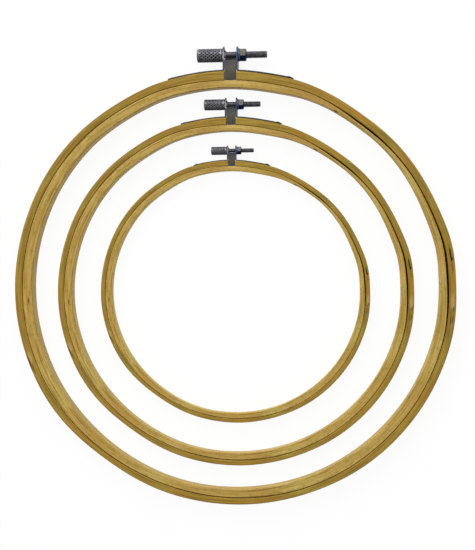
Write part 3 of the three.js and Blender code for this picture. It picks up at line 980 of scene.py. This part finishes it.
def bamboo(name, light, dark, marks, seed, gloss, rough, groove, painted_wall_light=False):
    """Strip bamboo whose fibres run round the ring. The grain is drawn on the unbent ring."""
    shader = Shader(name, Specular_IOR_Level=gloss)
    grain = shader.value("grain", "Vector")
    x, y, height = shader.split(grain)
    squares = [shader.math("POWER", part, 2.0) for part in (x, y)]
    radius = shader.math("SQRT", shader.math("ADD", *squares))

    def fibres(around, across, detail, roughness, offset):
        vector = shader.stretch(grain, (around, around, across * WALL_FINENESS))
        return shader.noise(vector, 1.0, detail, roughness,
                            W=shader.math("MULTIPLY_ADD", radius, across, offset + seed))

    def below_top(reach):
        return shader.remap(height, *(RIM_HEIGHT - depth for depth in reach))

    def out_from(middle, reach):
        return shader.remap(radius, *(middle + out for out in reach))

    bands = fibres(0.03, 1.0, 2.0, 0.5, 3.0)
    lines = fibres(0.065, 3.0, 2.0, 0.55, 11.0)
    dashes = fibres(0.35, 2.6, 1.0, 0.5, 23.0)
    veins = fibres(0.055, 1.9, 1.0, 0.4, 47.0)
    tone = shader.noise(grain, 0.03, 3.0, 0.55)
    blotch = shader.noise(grain, 0.45, 2.0, 0.5)
    colour = shader.mix(shader.remap(lines, 0.36, 0.64, 0.2, 0.8), srgb(dark), srgb(light))
    colour = shader.tint(colour, light, bands, 0.5, 0.66, 0.65)
    colour = shader.tint(colour, dark, bands, 0.5, 0.36, 0.6)
    colour = shader.tint(colour, "A8782C", tone, 0.35, 0.65, 0.4)
    colour = shader.tint(colour, "857A1C", blotch, 0.5, 0.75, 0.45)
    colour = shader.tint(colour, "7A5A22", veins, 0.57, 0.66, 0.6)
    dash = shader.remap(dashes, 0.65, 0.72, 0.0, 0.6)
    colour = shader.mix(dash, colour, srgb("6E5222"))
    # Painted shade: the facing sides of the rings are painted dark red-brown below their tops, so the seam
    # looks shaded
    groove_shade = shader.times(below_top(GROOVE_DEPTH), out_from(WALL_INSIDE, groove), 0.85)
    colour = shader.mix(groove_shade, colour, srgb("5E2600"))
    # Painted light: the inner ring's wall below its rounded edge is painted paler; then a dark line along
    # the edge
    if painted_wall_light:
        at_inside = out_from(RING_INSIDE, WALL_LIGHT_REACH)
        colour = shader.mix(shader.times(below_top(WALL_LIGHT_DEPTH), at_inside, 0.5), colour, srgb("C8AC54"))
        line = shader.times(below_top(LINE_TOP_DEPTH), below_top(LINE_BASE_DEPTH), at_inside,
                            shader.remap(lines, 0.3, 0.6, 0.2, 0.7), shader.remap(x, *LINE_X))
        colour = shader.mix(line, colour, srgb("7A6430"))
    worn = shader.remap(shader.noise(grain, 2.2, 2.0, 0.6), 0.3, 0.55, 0.45, 1.0)
    hollows = shader.times(dash, 0.6)
    for degrees, across, length, width, code, strength in marks:
        mark = shader.times(spot_mask(shader, grain, degrees, across, length, width), worn, strength)
        colour = shader.mix(mark, colour, srgb(code))
        if strength > HOLLOW_OVER:
            hollows = shader.math("ADD", hollows, mark)
    shader.bump(shader.math("SUBTRACT", shader.times(lines, 0.8), hollows), 0.06, 0.7)
    roughness = shader.remap(lines, 0.3, 0.7, rough + 0.1, rough - 0.05)
    return shader.finish(Base_Color=colour, Roughness=roughness)


def steel(name, base, bright, tint, axis, seed, roughness=0.36):
    """Steel brushed along an axis, with a tint in places and fine scratches, still to be finished."""
    shader = Shader(name, Metallic=1.0)
    grain = shader.value("grain", "Vector")
    brush = tuple(0.25 if i == axis else 5.0 for i in range(3))
    brushed = shader.noise(shader.stretch(grain, brush), 1.0, 4.0, 0.6, W=seed)
    cloud = shader.noise(grain, 0.35, 3.0, 0.55, W=seed + 4.0)
    scratch = shader.noise(shader.stretch(grain, (0.8, 9.0, 9.0)), 1.0, 1.0, 0.5, W=seed + 9.0)
    colour = shader.mix(shader.remap(brushed, 0.3, 0.7), srgb(base), srgb(bright))
    colour = shader.tint(colour, tint, cloud, 0.42, 0.68, 0.55)
    colour = shader.tint(colour, bright, scratch, 0.62, 0.72, 0.6)
    shader.bump(brushed, 0.05, 0.5)
    return shader, colour, shader.remap(brushed, 0.3, 0.7, roughness + 0.1, roughness - 0.08), grain


def bracket_steel(name):
    """Brushed steel with painted shade along a strap, a painted reflection and a painted shadow on the
    tongue, and a painted highlight round the collar.
    """
    shader, colour, roughness, grain = steel(name, "3E4249", "70727C", "48545C", 1, 1.0)
    x, y, _ = shader.split(grain)
    # Painted shade: the right strap is painted darker towards its end
    colour = shader.tint(colour, "1A262C", x, *STRAP_SHADE_X, 0.75)
    # Painted reflection: the tongue is painted olive-grey towards its lower right, as the wood reflected in
    # it
    slant = shader.math("MULTIPLY_ADD", x, WOOD_REFLECTION_SLANT, shader.math("MULTIPLY", y, -1.0))
    slant = shader.math("ADD", slant, shader.noise(grain, 0.5, 2.0, 0.5))
    on_tongue = shader.remap(shader.math("ABSOLUTE", x), *TONGUE_X)
    # Painted shadow: beside the screw and along its top edge the tongue is painted dark, as the screw's
    # shadow
    for code, value, reach, strength in (("6F6A5E", slant, WOOD_REFLECTION_REACH, 1.0), ("2C2C30", y, SCREW_SHADOW_Y, 0.6),
                                         ("08080A", y, EDGE_SHADOW_Y, 0.95)):
        painted_light_mask = shader.times(shader.remap(value, *reach, 0.0, strength), on_tongue)
        colour = shader.mix(painted_light_mask, colour, srgb(code))
    # Painted highlight: the left lug is painted bright round its collar
    centre = tuple(at * size for at, size in zip(HIGHLIGHT_PLACE, HIGHLIGHT_SIZES))
    inputs = {0: shader.stretch(grain, HIGHLIGHT_SIZES), 1: centre}
    from_collar = shader.node("ShaderNodeVectorMath", inputs, operation="DISTANCE").outputs["Value"]
    colour = shader.tint(colour, "C8C8CC", from_collar, *HIGHLIGHT_REACH, 0.7)
    return shader.finish(Base_Color=colour, Roughness=roughness)


def nut_steel(name):
    """Dull brushed steel with painted navy shade on its side towards the wood."""
    shader, colour, roughness, grain = steel(name, "34342C", "5A594E", "26283A", 2, 31.0)
    # Painted shade: the nut's side towards the wood is painted dark navy
    colour = shader.tint(colour, "0C3070", shader.split(grain)[1], *NUT_SHADE_Y, 0.85)
    return shader.finish(Base_Color=colour, Roughness=roughness)


def screw_steel(name):
    """Dark steel whose crests are rubbed bright in patches and whose hollows are black."""
    bright = "8E8E94"
    shader, colour, roughness, grain = steel(name, "3C3C3E", bright, "3A3842", 0, 21.0, 0.44)
    rubbed = shader.value("rubbed", "Fac")
    patches = shader.remap(shader.noise(grain, 1.6, 3.0, 0.6, W=23.0), 0.35, 0.6, 0.25, 0.9)
    colour = shader.mix(shader.times(shader.remap(rubbed, 0.55, 0.95), patches), colour, srgb(bright))
    colour = shader.tint(colour, "0C0C0E", rubbed, 0.35, 0.0, 0.85)
    return shader.finish(Base_Color=colour, Roughness=roughness)


def blue_plastic(name):
    """Cloudy blue plastic with a thin coat."""
    shader = Shader(name, Coat_Weight=0.2, Coat_Roughness=0.15)
    grain = shader.value("grain", "Vector")
    cloud = shader.noise(grain, 0.9, 3.0, 0.6)
    fine = shader.noise(grain, 9.0, 2.0, 0.6)
    colour = shader.mix(shader.remap(cloud, 0.35, 0.7), srgb("03284A"), srgb("0A4C80"))
    colour = shader.tint(colour, "041236", fine, 0.55, 0.75, 0.3)
    # Painted highlight: the washer is painted lighter blue at its free face
    colour = shader.tint(colour, "1C6CA8", shader.split(grain)[0], *WASHER_HIGHLIGHT_X, 0.8)
    shader.bump(fine, 0.03, 0.5)
    return shader.finish(Base_Color=colour, Roughness=shader.remap(fine, 0.3, 0.7, 0.28, 0.42))


FINISHES = {
    "bamboo_inner": bamboo("bamboo_inner", "D0B466", "9C8238", INNER_MARKS, 0.0, 0.2, 0.5, INNER_GROOVE,
                           painted_wall_light=True),
    "bamboo_outer": bamboo("bamboo_outer", "B09540", "745C1E", OUTER_MARKS, 40.0, 0.15, 0.55, OUTER_GROOVE),
    "steel": bracket_steel("steel"),
    "dark_steel": screw_steel("dark_steel"),
    "nut_steel": nut_steel("nut_steel"),
    "blue_washer": blue_plastic("blue_washer"),
}


# Assembly

def finish_piece(hoop, made, finish, *nodes, body=None):
    """Gives a piece its material, slot, grain and shading, and lets it ride on its body."""
    if "grain" not in made.data.attributes:
        places = np.array([v.co for v in made.data.vertices]) / MM - [0, hoop.centre_y, 0]
        keep_values(made, "grain", "FLOAT_VECTOR", places / hoop.gauge)
    made.data.materials.clear()
    made.data.materials.append(FINISHES[finish])
    made.data.shade_smooth()
    made.data.set_sharp_from_angle(angle=SHARP_FROM)
    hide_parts(*(f"{hoop.name}_{node}" for node in nodes))
    if body:
        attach(made, f"{hoop.name}_{body}")
    return made


def build_hoop(hoop):
    """One whole hoop. Its outer ring stays where it is made, and every other piece rides on a body."""
    finish_piece(hoop, inner_ring(hoop), "bamboo_inner", "inner_ring", body="inner")
    split = finish_piece(hoop, outer_ring(hoop), "bamboo_outer", "outer_ring_left", "outer_ring_right")
    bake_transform(split)
    for side_name in SIDES:
        finish_piece(hoop, bracket(hoop, side_name), "steel", f"{side_name}_bracket", body=side_name)
        for place_name in TACK_PLACES:
            finish_piece(hoop, tack(hoop, side_name, place_name), "steel", f"{side_name}_{place_name}_tack",
                         body=side_name)
    finish_piece(hoop, thumb_screw(hoop), "dark_steel", "thumb_screw", body="screw")
    finish_piece(hoop, washer(hoop), "blue_washer", "washer", body="right")
    finish_piece(hoop, nut(hoop), "nut_steel", "nut", body="right")


# Stage, light and camera

def add_floor():
    """A pale floor that looks white and still shows a soft shadow."""
    shader = Shader("floor", Roughness=0.9, Specular_IOR_Level=0.1)
    fine = shader.noise(shader.node("ShaderNodeTexCoord").outputs["Object"], 40.0, 2.0, 0.5)
    shader.finish(Base_Color=shader.mix(shader.remap(fine, 0.3, 0.7), srgb("F7F7F7"), srgb("FCFCFC")))
    path = shader.node("ShaderNodeLightPath").outputs
    seen = shader.math("ADD", path["Is Camera Ray"], path["Is Glossy Ray"])
    seen = shader.math("ADD", seen, path["Is Transmission Ray"])
    glow = shader.node("ShaderNodeEmission", {"Color": (1, 1, 1, 1), "Strength": 1.0}).outputs[0]
    inputs = {0: shader.times(seen, FLOOR_GLOW), 1: shader.surface.outputs[0], 2: glow}
    both = shader.node("ShaderNodeMixShader", inputs).outputs[0]
    shader.feed(shader.tree.nodes["Material Output"].inputs["Surface"], both)
    corners = [(x * FLOOR_HALF, y * FLOOR_HALF, 0) for x, y in ((-1, -1), (1, -1), (1, 1), (-1, 1))]
    mesh = bpy.data.meshes.new("floor")
    mesh.from_pydata(corners, [], [(0, 1, 2, 3)])
    mesh.materials.append(shader.material)
    floor = new_object("floor", mesh)
    floor.location.z = -FLOOR_DROP


def aim(thing, eye, target, up=(0, 1, 0)):
    """Stands a lamp or camera at eye, looking at target."""
    back = (Vector(eye) - Vector(target)).normalized()
    right = Vector(up).cross(back).normalized()
    turn = Matrix((right, back.cross(right), back)).transposed()
    thing.matrix_world = Matrix.Translation(eye) @ turn.to_4x4()


def add_lamp():
    """A large soft lamp beyond the clamps."""
    data = bpy.data.lights.new("key", "AREA")
    data.shape = "DISK"
    data.size = KEY_SIZE
    data.energy = KEY_POWER
    aim(new_object("key", data), KEY_PLACE, (0, 0, 0))


def add_camera():
    data = bpy.data.cameras.new("camera")
    data.sensor_width = SENSOR
    data.lens = FOCAL_PIXELS * SENSOR / max(IMAGE_SIZE)
    camera = new_object("camera", data)
    aim(camera, EYE, TARGET, up=(math.sin(ROLL), math.cos(ROLL), 0))
    bpy.context.scene.camera = camera


def add_world():
    """White light that is strongest from one side and weak from overhead."""
    world = bpy.data.worlds.new("studio")
    world.use_nodes = True
    sky = Nodes(world.node_tree)
    background = sky.tree.nodes["Background"].inputs
    place = sky.node("ShaderNodeTexCoord").outputs["Generated"]
    inputs = {0: place, 1: Vector(SKY_TOWARDS).normalized()}
    towards = sky.node("ShaderNodeVectorMath", inputs, operation="DOT_PRODUCT").outputs["Value"]
    brightness = sky.remap(towards, *SKY_SPREAD, SKY_DIM, SKY_BRIGHT)
    overhead = sky.remap(sky.split(place)[2], *OVERHEAD_SPREAD, 1.0, OVERHEAD_SHARE)
    sky.feed(background["Color"], (1, 1, 1, 1))
    sky.feed(background["Strength"], sky.times(brightness, overhead))
    bpy.context.scene.world = world


for settings in HOOPS:
    build_hoop(Hoop(*settings))
add_floor()
add_lamp()
add_world()
add_camera()
bpy.context.scene.view_settings.view_transform = "Standard"
